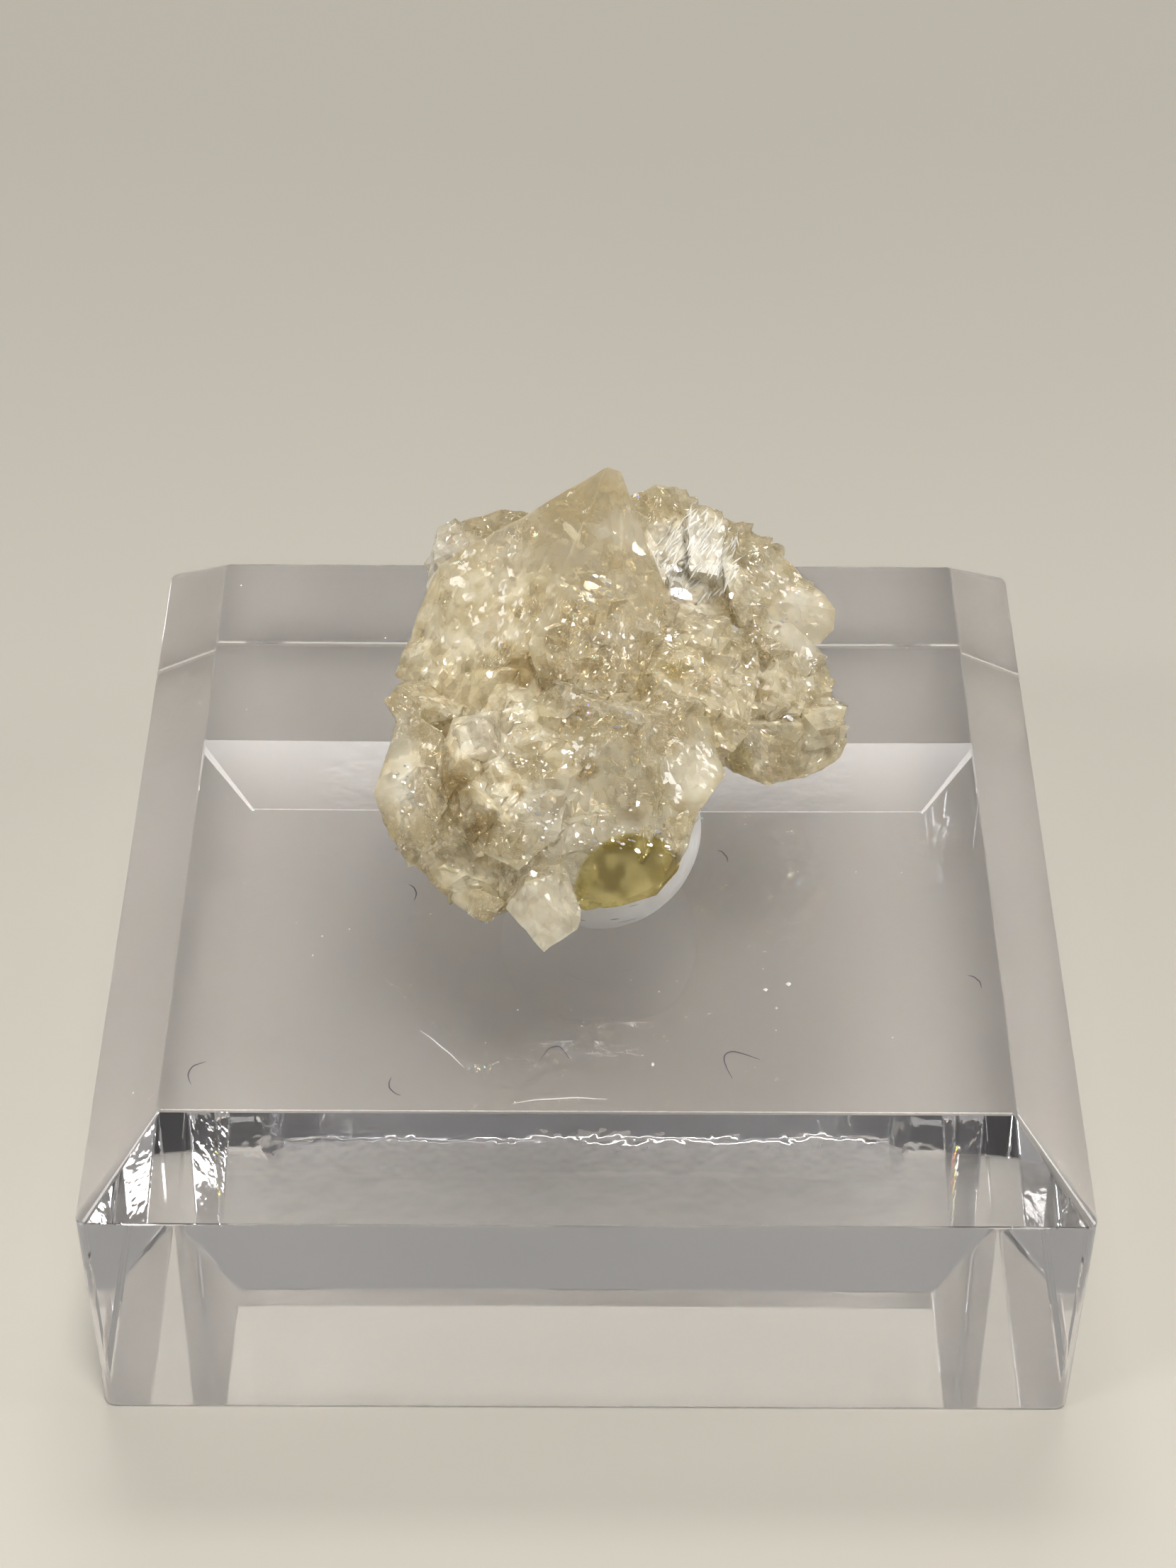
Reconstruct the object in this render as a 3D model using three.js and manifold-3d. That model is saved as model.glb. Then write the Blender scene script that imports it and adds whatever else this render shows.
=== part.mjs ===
// A cluster of pointed honey-coloured crystals, pressed into a wad of white putty on a
// clear bevelled display block. Millimetres, +Z up, +X to the right and +Y away from the
// front. The origin is the middle of the block's underside.
import * as THREE from "three";
import { ConvexGeometry } from "three/addons/geometries/ConvexGeometry.js";
import { mergeVertices } from "three/addons/utils/BufferGeometryUtils.js";
import Module from "manifold-3d";

const wasm = await Module();
wasm.setup();

// Driving dimensions of the block
const BLOCK_SIDE = 50.8;
const BLOCK_HEIGHT = 19.05;
const BEVEL = 4;
const CORNER_RADIUS = 0.6;
const TOP_CORNER_RADIUS = 0.2;
const FOOT_EASE = 0.2;
const CORNER_STEPS = 4;

// Driving dimensions of the putty: a ball, flat where it meets the block and the crystals
const PUTTY_X = 0.6;
const PUTTY_Y = -5.4;
const PUTTY_RADIUS = 5.35;
const PUTTY_HALF_HEIGHT = 5.3;
const PUTTY_SINK = 4.2;
const PUTTY_TOP = 26.5;
const PUTTY_STEPS = 40;
const PUTTY_RINGS = 12;
const PUTTY_GAP = 0.3;

// Driving dimensions of the small crystals that stand out of the rough faces
const CRYSTAL_SIZES = [0.9, 2.5];
const RISE = -0.78;
const BREADTH = 0.9;
const DEPTH = 0.62;
const ROLL = 0.6;
const ROLL_SPREAD = 0.6;
const LEAN = 0.75;
const SEED = 20;

// The direction in which most of the small crystals have grown
const GROWTH = new THREE.Vector3(-0.1, -0.45, 0.9).normalize();

// The middle of the cluster, and how far off the rays start that look for its faces
const MIDDLE = [0.5, -1, 27];
const FAR = 40;

// Where the faces are rough: the middle, radius and number of small crystals of each patch
const ROUGH_PATCHES = [
  { name: "brow", middle: [-4.4, -8, 29], radius: 3.6, count: 34 },
  { name: "base", middle: [-7, -9.5, 24.4], radius: 2.4, count: 12 },
  { name: "left lobe's inner side", middle: [-8, -7.5, 26.6], radius: 1.6, count: 8 },
  { name: "broken mass", middle: [6.4, -1.6, 29.6], radius: 4, count: 36 },
  { name: "long crystal's back", middle: [8.8, 6.4, 30.8], radius: 2.8, count: 22 },
  { name: "right lobe", middle: [11, 0, 27], radius: 3, count: 20 },
  { name: "back right pair", middle: [4.6, 6.4, 31.8], radius: 1.3, count: 8 },
  { name: "back left lump", middle: [-6.2, 7.4, 31.6], radius: 1.7, count: 9 },
  { name: "summit's foot", middle: [0.4, -2.6, 31.2], radius: 3, count: 22 },
  { name: "ledge", middle: [-1, -10, 27], radius: 1.5, count: 8 },
  { name: "hidden back", middle: [0, 7, 28], radius: 7, count: 26 },
  { name: "underside", middle: [1, 4, 20], radius: 5, count: 12 },
];

// Corners closer than this are one corner
const WELD = 0.001;

// A repeatable stream of numbers from 0 to 1, so that every build grows the same crystals.
function numberStream(seed) {
  let state = seed >>> 0;
  return () => {
    state = (Math.imul(state, 1664525) + 1013904223) >>> 0;
    return state / 4294967296;
  };
}

function vector(point) {
  return new THREE.Vector3(...point);
}

// A closed three.js geometry as a solid that can be joined and cut.
function solidOf(geometry) {
  const bare = geometry.clone();
  bare.deleteAttribute("normal");
  bare.deleteAttribute("uv");
  const merged = mergeVertices(bare, WELD);
  return new wasm.Manifold(
    new wasm.Mesh({
      numProp: 3,
      vertProperties: merged.attributes.position.array,
      triVerts: new Uint32Array(merged.index.array),
    }),
  );
}

// A joined or cut solid as a flat-faced three.js geometry.
function geometryOf(solid) {
  const mesh = solid.getMesh();
  const indexed = new THREE.BufferGeometry()
    .setAttribute("position", new THREE.BufferAttribute(mesh.vertProperties, 3))
    .setIndex(new THREE.BufferAttribute(mesh.triVerts, 1));
  const flat = indexed.toNonIndexed();
  flat.computeVertexNormals();
  return flat;
}

// A flat-faced crystal through its corners.
function facets(corners) {
  return solidOf(new ConvexGeometry(corners.map(vector)));
}

function between(low, high, share) {
  return low + (high - low) * share;
}

function joined(solids) {
  return solids.reduce((whole, solid) => whole.add(solid));
}

// The outer skin of the biggest lump, without crumbs that came loose or sealed hollows.
function biggestLump(solid) {
  const lumps = solid.decompose();
  return lumps.reduce((best, lump) => (lump.volume() > best.volume() ? lump : best));
}

function namedMesh(name, geometry, material) {
  const mesh = new THREE.Mesh(geometry, material);
  mesh.name = name;
  return mesh;
}

// One level of the block: a square outline with rounded corners at height z.
function roundedSquare(half, radius, z) {
  const points = [];
  for (let corner = 0; corner < 4; corner++) {
    const start = (corner * Math.PI) / 2;
    const middle = start + Math.PI / 4;
    const reach = (half - radius) * Math.SQRT2;
    for (let step = 0; step <= CORNER_STEPS; step++) {
      const angle = start + (step / CORNER_STEPS) * (Math.PI / 2);
      const x = reach * Math.cos(middle) + radius * Math.cos(angle);
      const y = reach * Math.sin(middle) + radius * Math.sin(angle);
      points.push([x, y, z]);
    }
  }
  return points;
}

// The display block: straight sides, a bevel round the top and a slightly eased foot.
function blockGeometry() {
  const half = BLOCK_SIDE / 2;
  const levels = [
    ...roundedSquare(half - FOOT_EASE, CORNER_RADIUS, 0),
    ...roundedSquare(half, CORNER_RADIUS, FOOT_EASE),
    ...roundedSquare(half, CORNER_RADIUS, BLOCK_HEIGHT - BEVEL),
    ...roundedSquare(half - BEVEL, TOP_CORNER_RADIUS, BLOCK_HEIGHT),
  ];
  return new ConvexGeometry(levels.map(vector));
}

// The putty's round shape, grown by a margin and cut flat at its foot and top.
function puttyGeometry(margin) {
  const wide = PUTTY_RADIUS + margin;
  const high = PUTTY_HALF_HEIGHT + margin;
  const low = Math.asin(-PUTTY_SINK / high);
  const top = Math.asin((PUTTY_TOP - BLOCK_HEIGHT - PUTTY_SINK) / high);
  const profile = [new THREE.Vector2(0, high * Math.sin(low))];
  for (let ring = 0; ring <= PUTTY_RINGS; ring++) {
    const angle = low + (ring / PUTTY_RINGS) * (top - low);
    profile.push(new THREE.Vector2(wide * Math.cos(angle), high * Math.sin(angle)));
  }
  profile.push(new THREE.Vector2(0, high * Math.sin(top)));
  const heights = profile.map(({ x, y }) => new THREE.Vector2(x, y + BLOCK_HEIGHT + PUTTY_SINK));
  heights.slice(0, 2).forEach((point) => (point.y = BLOCK_HEIGHT));
  heights.slice(-2).forEach((point) => (point.y = PUTTY_TOP));
  const ball = new THREE.LatheGeometry(heights, PUTTY_STEPS);
  ball.rotateX(Math.PI / 2);
  return ball.translate(PUTTY_X, PUTTY_Y, 0);
}

// The tall pyramid with its chisel edge, the highest point of the cluster: the broad crystal
// on the left and the slim one that stands a little proud of it.
function summit() {
  const broad = facets([
    [0.85, 4.45, 39.35],
    [-7.8, 4.1, 33.2],
    [-8.6, 3.7, 31.8],
    [-10.1, 1.2, 28.2],
    [-7.7, -2.8, 28.4],
    [-3.4, -1, 31.9],
    [-2.6, -3.4, 29.8],
    [3.6, 3.4, 32],
    [3, -1, 30],
    [4.4, 7.4, 29],
    [-4, 9, 29],
    [-8, 7, 28],
  ]);
  const slim = facets([
    [0.9, 4.3, 39.5],
    [1.6, 4.3, 39.2],
    [-0.8, 1.2, 35.9],
    [-3.1, -1.6, 32.6],
    [-2.4, -3, 31],
    [4, 2.4, 32.9],
    [4.6, 1.4, 31.2],
    [1.9, -4.2, 30.8],
    [3.8, 7, 30],
    [0, 8, 31],
    [-2, 3, 31],
  ]);
  return broad.add(slim);
}

// The pale lump behind the summit's left shoulder.
function backLeftLump() {
  return facets([
    [-2.6, 7.4, 34],
    [-4.7, 8.6, 33.2],
    [-6.7, 8.9, 32.4],
    [-7.9, 8.6, 31.5],
    [-8.4, 8.3, 30.8],
    [-8.6, 7, 29.5],
    [-9, 3, 29],
    [-7.6, 9.6, 28],
    [-3, 10.4, 29],
    [0, 9, 31],
    [-7.4, 7, 25.6],
    [-2, 8.4, 26],
  ]);
}

// Two blunt crystals behind the summit's right side.
function backRightPair() {
  const left = facets([
    [2.2, 8.6, 34.3],
    [3.6, 9.4, 34.4],
    [5.2, 9.7, 33.9],
    [5.8, 8.8, 33.2],
    [3, 5, 32.6],
    [5, 6, 32.4],
    [1.4, 10.6, 30],
    [6, 10.8, 29.6],
    [2, 8, 26.5],
    [6.4, 7.6, 27],
  ]);
  const right = facets([
    [5.4, 8.2, 33.3],
    [6.8, 8.7, 33.2],
    [7.6, 7.2, 32.7],
    [5.8, 4.3, 31],
    [4.2, 3.6, 31.4],
    [3.7, 5.9, 32.7],
    [8.6, 9.8, 29],
    [6, 10.2, 27.6],
    [8.4, 5, 27],
    [5, 3, 27],
  ]);
  return left.add(right);
}

// The long crystal that points to the back right, with its smooth lower face.
function rightLongCrystal() {
  return facets([
    [6.6, 8.4, 33.2],
    [8.6, 8.8, 32],
    [9.9, 7.6, 31.3],
    [11.3, 6.7, 30.6],
    [12.6, 5.9, 29.8],
    [13.2, 5.3, 29.2],
    [13.1, 4.6, 28.4],
    [12.4, 4.2, 27.8],
    [10.2, 3.7, 28],
    [8.7, 3.6, 28.7],
    [7.6, 3.9, 30.6],
    [10.6, 4.6, 30.3],
    [12.6, 7.4, 27],
    [9, 9.6, 28],
    [7, 8, 26],
  ]);
}

// The blunt crystals under the long one, down to the lobe at the lower right.
function rightLobe() {
  const upper = facets([
    [9.2, 2.4, 28.8],
    [10.9, 3.2, 28.4],
    [12.4, 4.1, 27.4],
    [12.8, 2.9, 26.8],
    [12.9, 1.3, 25.8],
    [9.3, -1.1, 28.4],
    [10.9, -1, 27.4],
    [8, -2, 28.7],
    [12.4, 4.8, 25.4],
    [8, 5, 25],
    [7, 0, 25],
    [8.8, 4, 29.8],
    [10.8, 4.2, 29.2],
  ]);
  const lower = facets([
    [13.3, -0.2, 26],
    [13.7, -0.9, 25.4],
    [13.4, -1.5, 24.9],
    [12.4, -2.1, 24.5],
    [11, -2.8, 24.3],
    [9.5, -3.1, 24.2],
    [7.6, -3.2, 25.2],
    [8.5, -2, 27.6],
    [11.1, -1.5, 27],
    [12.8, 1.4, 26.6],
    [12.8, 2.6, 24.2],
    [8.4, 2.4, 23.6],
    [6, 0, 25],
    [6.4, -2.4, 28],
  ]);
  return upper.add(lower);
}

// The broken mass between the summit and the right lobe.
function middleRightMass() {
  return facets([
    [4.3, 1.6, 31.5],
    [6.3, 2.2, 31],
    [8, 2, 30],
    [8.9, -0.4, 29.2],
    [8.2, -3.7, 28.3],
    [6.6, -5.3, 27.8],
    [4.7, -4, 30.4],
    [2.7, -2.8, 31.2],
    [8.6, 2, 26],
    [6, -4.6, 25.8],
    [4, 4, 27],
  ]);
}

// The pyramid that leans to the front, with its sharp foot over the putty.
function frontPyramid() {
  return facets([
    [2.2, -6.2, 32.1],
    [-3.1, -4.4, 31.3],
    [-1.1, -4.1, 31.8],
    [4.4, -9.9, 26.2],
    [-2.5, -9.9, 27],
    [6.1, -4.6, 30.3],
    [7, -6.2, 27.9],
    [6.3, -6.6, 27],
    [4.6, -8.6, 26],
    [3, -2, 27],
    [-4, -4, 26],
  ]);
}

// The rounded crystal at the far left, and the small grey tip above it.
function leftLobe() {
  const lobe = facets([
    [-9.4, -2.3, 28.7],
    [-10, -2.9, 28],
    [-10.6, -4.6, 27],
    [-11.1, -5.7, 26],
    [-10.5, -7, 25],
    [-9.8, -7.9, 24.4],
    [-9.3, -8.8, 23.6],
    [-8.4, -7, 28.2],
    [-7.5, -9.2, 26.7],
    [-6.8, -10, 25.6],
    [-7.5, -4.4, 29.2],
    [-10.6, -3.4, 25],
    [-8.4, -4.6, 23],
    [-5, -5, 25],
  ]);
  const tip = facets([
    [-10.7, -1.2, 28.4],
    [-10, -0.8, 29.1],
    [-9, -2.2, 29.2],
    [-9.5, -3.1, 28.2],
    [-9.8, -1, 25.6],
    [-10, 0.9, 27.6],
    [-9.2, 0.8, 26],
    [-6, -3, 25],
    [-6, 0, 29],
    [-6.6, -3.6, 29.4],
  ]);
  return lobe.add(tip);
}

// The broken front left, from its brow down to the base over the putty.
function frontLeft() {
  const brow = facets([
    [-6.9, -4.5, 30.2],
    [-3.1, -4.6, 31.1],
    [-0.7, -7, 30.3],
    [-1.4, -10.3, 27.6],
    [-3.5, -11.5, 26.1],
    [-6.4, -10.3, 27],
    [-7.7, -7.7, 28.9],
    [-8, -4, 26],
    [-1, -4, 26],
  ]);
  const base = facets([
    [-9.3, -8.7, 24.1],
    [-7.9, -9.6, 23.2],
    [-6.8, -10.5, 22.8],
    [-5.8, -11.2, 22.5],
    [-5.1, -11.4, 22.5],
    [-4.1, -11.3, 23],
    [-3.9, -10, 26],
    [-6.8, -9.5, 26],
    [-8.3, -9.2, 25.4],
    [-8, -5, 23.4],
    [-5.4, -6, 22.8],
    [-4, -4, 26],
  ]);
  return brow.add(base);
}

// The clear chip that hangs at the very front, and the dark window beside it.
function frontChip() {
  const chip = facets([
    [-4.2, -12.4, 24.3],
    [-2.2, -13.6, 22.4],
    [-0.5, -12.8, 23.2],
    [-0.3, -12.2, 24],
    [-1.1, -11.2, 25.8],
    [-3.2, -12, 25.6],
    [-4, -10.6, 23.6],
    [-2, -11.4, 22.6],
    [-0.6, -10.8, 24],
    [-2.6, -9.6, 26],
  ]);
  const window = facets([
    [-2.4, -10.6, 26.6],
    [-1, -9.6, 27.6],
    [4, -8.8, 27.4],
    [4.5, -10, 26.2],
    [5, -9.2, 25.6],
    [5.7, -7, 25.9],
    [4.6, -10, 24.7],
    [3.5, -10.9, 23.8],
    [1.7, -11.3, 23.4],
    [-0.6, -11.6, 23.3],
    [-4.4, -11.2, 23.8],
    [-4.6, -10.8, 25.4],
    [5.2, -5, 26],
    [-4, -6, 25],
  ]);
  return chip.add(window);
}

// The solid mass that the crystals have grown from.
function core() {
  return facets([
    [-8, -6, 25],
    [-7.4, 5.6, 26],
    [-6, 8, 27],
    [6, 8.4, 27],
    [8, 0, 25.4],
    [-4, -8.6, 24],
    [4, -7, 26],
    [-3, -9, 28],
    [-9, -2, 27],
    [9, 4, 27],
    [9, 6, 29],
    [5, 2, 31],
    [-4, -3, 30.4],
    [-7, 5, 31],
    [4, 8, 31],
    [-4, 2, 24],
    [5, 3, 24.4],
  ]);
}

// A stout crystal about a point: four flat sides around its length, closed by a blunt top.
function stoutCrystal(point, along, size, roll) {
  const turned = new THREE.Quaternion()
    .setFromUnitVectors(new THREE.Vector3(0, 0, 1), along)
    .multiply(new THREE.Quaternion().setFromAxisAngle(new THREE.Vector3(0, 0, 1), roll));
  const wide = size * BREADTH;
  const deep = size * DEPTH;
  const corners = [
    [wide * 0.6, 0, -size],
    [-wide * 0.6, 0, -size],
    [0, deep * 0.6, -size],
    [0, -deep * 0.6, -size],
    [wide, 0, size * 0.45],
    [-wide, 0, size * 0.3],
    [0, deep, size * 0.55],
    [0, -deep, size * 0.4],
    [wide * 0.55, 0, size],
    [-wide * 0.6, 0, size * 0.72],
    [0, deep * 0.5, size * 0.92],
    [0, -deep * 0.6, size * 0.78],
  ];
  const placed = corners.map((corner) => vector(corner).applyQuaternion(turned).add(point));
  return solidOf(new ConvexGeometry(placed));
}

// Stout crystals over one rough patch of a solid. Each stands where a ray from outside,
// through a chance point of the patch, first meets the solid.
function overgrowth(target, patch, next) {
  const caster = new THREE.Raycaster();
  const inward = vector(MIDDLE).sub(vector(patch.middle)).normalize();
  const found = [];
  for (let made = 0; made < patch.count; made++) {
    const chance = () => 2 * next() - 1;
    const spread = new THREE.Vector3(chance(), chance(), chance()).multiplyScalar(patch.radius);
    const start = vector(patch.middle).add(spread).addScaledVector(inward, -FAR);
    const size = between(...CRYSTAL_SIZES, next() ** 1.5);
    const stray = new THREE.Vector3(chance(), chance(), chance()).multiplyScalar(LEAN);
    const roll = ROLL + ROLL_SPREAD * chance();
    caster.set(start, inward);
    const [hit] = caster.intersectObject(target);
    if (hit) {
      const along = hit.face.normal.clone().add(GROWTH).add(stray).normalize();
      const middle = hit.point.addScaledVector(hit.face.normal, RISE * size);
      found.push(stoutCrystal(middle, along, size, roll));
    }
  }
  return found;
}

// The dark hollows between the large crystals.
function hollows() {
  const underSummit = facets([
    [-4.6, -3.8, 33],
    [-1.4, -4.4, 33],
    [-2.2, -2.6, 33.4],
    [-4.2, -3.4, 29.8],
    [-2, -3.8, 29.4],
  ]);
  const besideLobe = facets([
    [-7.8, -9.8, 28.6],
    [-6.2, -10.8, 28],
    [-6.6, -8.4, 29.4],
    [-7.6, -8.4, 25.4],
    [-5.6, -9.2, 25],
  ]);
  const underLongCrystal = facets([
    [8.6, 2.4, 30.4],
    [10, 1.6, 29.6],
    [9, 0.2, 29.6],
    [8.8, 2.2, 27],
    [9.4, 1, 26.8],
  ]);
  return [underSummit, besideLobe, underLongCrystal];
}

// The whole cluster: the large crystals, the small ones on their rough faces, the hollows
// between them, and the seat underneath that the putty fills.
function clusterGeometry() {
  const large = joined([
    core(),
    summit(),
    backLeftLump(),
    backRightPair(),
    rightLongCrystal(),
    rightLobe(),
    middleRightMass(),
    frontPyramid(),
    leftLobe(),
    frontLeft(),
    frontChip(),
  ]);
  const next = numberStream(SEED);
  const target = new THREE.Mesh(geometryOf(large));
  const small = ROUGH_PATCHES.flatMap((patch) => overgrowth(target, patch, next));
  const grown = large.add(joined(small)).subtract(joined(hollows()));
  const seated = grown.subtract(solidOf(puttyGeometry(PUTTY_GAP)));
  return geometryOf(biggestLump(solidOf(geometryOf(seated))));
}

const acrylic = new THREE.MeshStandardMaterial({ color: 0xe9e9ee, roughness: 0.05 });
const putty = new THREE.MeshStandardMaterial({ color: 0xf1efec, roughness: 0.6 });
const honey = new THREE.MeshStandardMaterial({ color: 0xdccba4, roughness: 0.15 });

const specimen = new THREE.Group();
specimen.add(
  namedMesh("acrylic_block", blockGeometry(), acrylic),
  namedMesh("mounting_putty", puttyGeometry(0), putty),
  namedMesh("crystal_cluster", clusterGeometry(), honey),
);

export default specimen;
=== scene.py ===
"""A cluster of pointed honey-coloured crystals in white putty on a clear display block.

The scene works in metres with +Z up, and the camera stands where the photograph was taken.
Shapes are written in millimetres, the unit in which such a small thing is measured.
"""

from __future__ import annotations

import logging
import math
from dataclasses import dataclass
from enum import Enum
from typing import Any

import bpy
import numpy as np
from mathutils import Matrix, Vector

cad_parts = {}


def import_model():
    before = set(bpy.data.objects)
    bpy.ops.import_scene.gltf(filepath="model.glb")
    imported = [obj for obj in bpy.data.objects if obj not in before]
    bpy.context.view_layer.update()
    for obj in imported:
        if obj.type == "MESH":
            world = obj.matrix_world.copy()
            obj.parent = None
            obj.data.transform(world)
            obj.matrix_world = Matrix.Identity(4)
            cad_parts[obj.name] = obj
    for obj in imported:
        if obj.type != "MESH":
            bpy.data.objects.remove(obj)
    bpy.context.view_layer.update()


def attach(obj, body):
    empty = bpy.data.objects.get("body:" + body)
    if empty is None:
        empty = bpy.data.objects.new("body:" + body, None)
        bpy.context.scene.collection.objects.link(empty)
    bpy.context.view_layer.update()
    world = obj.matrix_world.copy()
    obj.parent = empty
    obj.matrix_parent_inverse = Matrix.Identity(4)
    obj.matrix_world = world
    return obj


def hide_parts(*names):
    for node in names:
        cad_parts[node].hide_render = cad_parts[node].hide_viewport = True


LOG = logging.getLogger("crystal_scene")
MM = 0.001
BODY = "root"
CRYSTALS = (0.0, 0.0, 0.025)
GROWTH_TURN = (0.45, -0.1, 0.0)
FACETS = np.array(
    [[1, 0.2, 0.3], [-1, 0.1, 0.35], [0.1, 1, 0.3], [-0.2, -1, 0.4], [0.2, 0.1, 1], [0, 0, -1]]
)

Colour = tuple[float, float, float]
Place = tuple[float, float, float]


class Slot(Enum):
    """The record's material slots."""

    ACRYLIC = "clear_acrylic"
    PUTTY = "white_putty"
    CRYSTAL = "honey_crystal"


class Node(Enum):
    """The solids of the CAD part."""

    BLOCK = "acrylic_block"
    PUTTY = "mounting_putty"
    CRYSTAL = "crystal_cluster"


class Term:
    """A value in a node tree that takes part in Python expressions."""

    def __init__(self, sheet: NodeSheet, socket: bpy.types.NodeSocket) -> None:
        """Wraps a socket.

        Args:
            sheet: the node tree that the socket belongs to.
            socket: an output socket.
        """
        self.sheet = sheet
        self.socket = socket

    def _maths(self, operation: str, first: Any, second: Any) -> Term:
        """Adds a Math node for one operator."""
        return self.sheet.node("Math", {"operation": operation}, {0: first, 1: second})

    def __add__(self, other: Any) -> Term:
        """self + other."""
        return self._maths("ADD", self, other)

    def __radd__(self, other: Any) -> Term:
        """other + self."""
        return self._maths("ADD", other, self)

    def __sub__(self, other: Any) -> Term:
        """self - other."""
        return self._maths("SUBTRACT", self, other)

    def __rsub__(self, other: Any) -> Term:
        """other - self."""
        return self._maths("SUBTRACT", other, self)

    def __mul__(self, other: Any) -> Term:
        """self * other."""
        return self._maths("MULTIPLY", self, other)

    def __rmul__(self, other: Any) -> Term:
        """other * self."""
        return self._maths("MULTIPLY", other, self)

    def __truediv__(self, other: Any) -> Term:
        """self / other."""
        return self._maths("DIVIDE", self, other)

    def at_least(self, low: float) -> Term:
        """The larger of self and low."""
        return self._maths("MAXIMUM", self, low)

    def between(self, low: float, high: float) -> Term:
        """A smooth step from 0 at low to 1 at high."""
        settings = {"interpolation_type": "SMOOTHSTEP"}
        return self.sheet.node("MapRange", settings, {"Value": self, 1: low, 2: high})

    def within(self, low: float, high: float, blur: float) -> Term:
        """1 between low and high, and smoothly 0 at a distance of blur outside them."""
        return self.between(low - blur, low) * (1 - self.between(high, high + blur))


class NodeSheet:
    """The node tree of one new material."""

    def __init__(self, name: str, holder: bpy.types.World | None = None) -> None:
        """Makes an empty material, or empties the tree of a world.

        Args:
            name: the material's name.
            holder: the world, if the tree isn't a new material's.
        """
        self.material = holder or bpy.data.materials.new(name)
        self.material.use_nodes = True
        self.tree = self.material.node_tree
        self.tree.nodes.clear()

    def node(
        self,
        kind: str,
        settings: dict[str, Any] | None = None,
        inputs: dict[str | int, Any] | None = None,
        output: str | int = 0,
    ) -> Term:
        """Adds a node, sets it and feeds its sockets.

        Args:
            kind: the node's type without its ShaderNode prefix.
            settings: its properties.
            inputs: numbers, colours or terms for its sockets, by name or number.
            output: the output that is wanted.

        Returns:
            The wanted output.
        """
        made = self.tree.nodes.new("ShaderNode" + kind)
        for name, value in (settings or {}).items():
            setattr(made, name, value)
        for name, value in (inputs or {}).items():
            socket = made.inputs[name]
            if isinstance(value, Term):
                self.tree.links.new(value.socket, socket)
            elif isinstance(value, tuple) and len(value) == 3 and socket.type == "RGBA":
                socket.default_value = (*value, 1.0)
            else:
                socket.default_value = value
        return Term(self, made.outputs[output])

    def place(self, stretch: Place = (1.0, 1.0, 1.0), turn: Place = (0.0, 0.0, 0.0)) -> Term:
        """Object coordinates in millimetres, turned and stretched.

        Args:
            stretch: how many times finer the pattern is along each turned axis.
            turn: the turn in radians about X, Y and Z.

        Returns:
            The coordinates.
        """
        spot = self.node("TexCoord", output="Object")
        scale = tuple(value / MM for value in stretch)
        return self.node("Mapping", None, {"Vector": spot, "Rotation": turn, "Scale": scale})

    def noise(self, size: float, detail: float = 3.0, spot: Term | None = None) -> Term:
        """Cloudy noise from 0 to 1 whose lumps are about size millimetres apart."""
        inputs = {"Vector": spot or self.place(), "Scale": 1 / size, "Detail": detail}
        return self.node("TexNoise", None, inputs)

    def chips(self, size: float, slope: float, spot: Term) -> Term:
        """Heights in millimetres of flat chips, each a plane with its own tilt.

        The height is the dot product of the way from the cell's own point to here and the
        cell's chance direction, which is its chance colour less one half.

        Args:
            size: about how wide a chip is, in millimetres.
            slope: about how steep the steepest chips are.
            spot: the coordinates.

        Returns:
            The height.
        """
        inputs = {"Vector": spot, "Scale": 1 / size}
        colour = self.node("TexVoronoi", {"feature": "F1"}, inputs, "Color")
        centre = Term(self, colour.socket.node.outputs["Position"])
        across = self.node("VectorMath", {"operation": "SUBTRACT"}, {0: spot, 1: centre})
        tilt = self.node("VectorMath", {"operation": "SUBTRACT"}, {0: colour, 1: (0.5, 0.5, 0.5)})
        dot = self.node("VectorMath", {"operation": "DOT_PRODUCT"}, {0: across, 1: tilt}, "Value")
        return dot * (2 * slope)

    def attribute(self, name: str) -> Term:
        """A number that the mesh holds for each point."""
        return self.node("Attribute", {"attribute_name": name}, None, "Fac")

    def mixed(self, share: Term | float, first: Any, second: Any) -> Term:
        """A colour that goes from first to second as share goes from 0 to 1."""
        settings = {"data_type": "RGBA"}
        return self.node("Mix", settings, {"Factor": share, 6: first, 7: second}, 2)

    def bumped(self, height: Term, depth: float) -> Term:
        """A normal from a height field whose full range is depth millimetres."""
        return self.node("Bump", None, {"Height": height, "Distance": depth * MM})

    def finished(self, surface: Term, volume: Term | None = None) -> bpy.types.Material:
        """Links the material's output.

        Args:
            surface: the surface shader.
            volume: the volume shader, if there is one.

        Returns:
            The material.
        """
        end = self.tree.nodes.new("ShaderNodeOutputMaterial")
        self.tree.links.new(surface.socket, end.inputs["Surface"])
        if volume:
            self.tree.links.new(volume.socket, end.inputs["Volume"])
        return self.material


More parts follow.
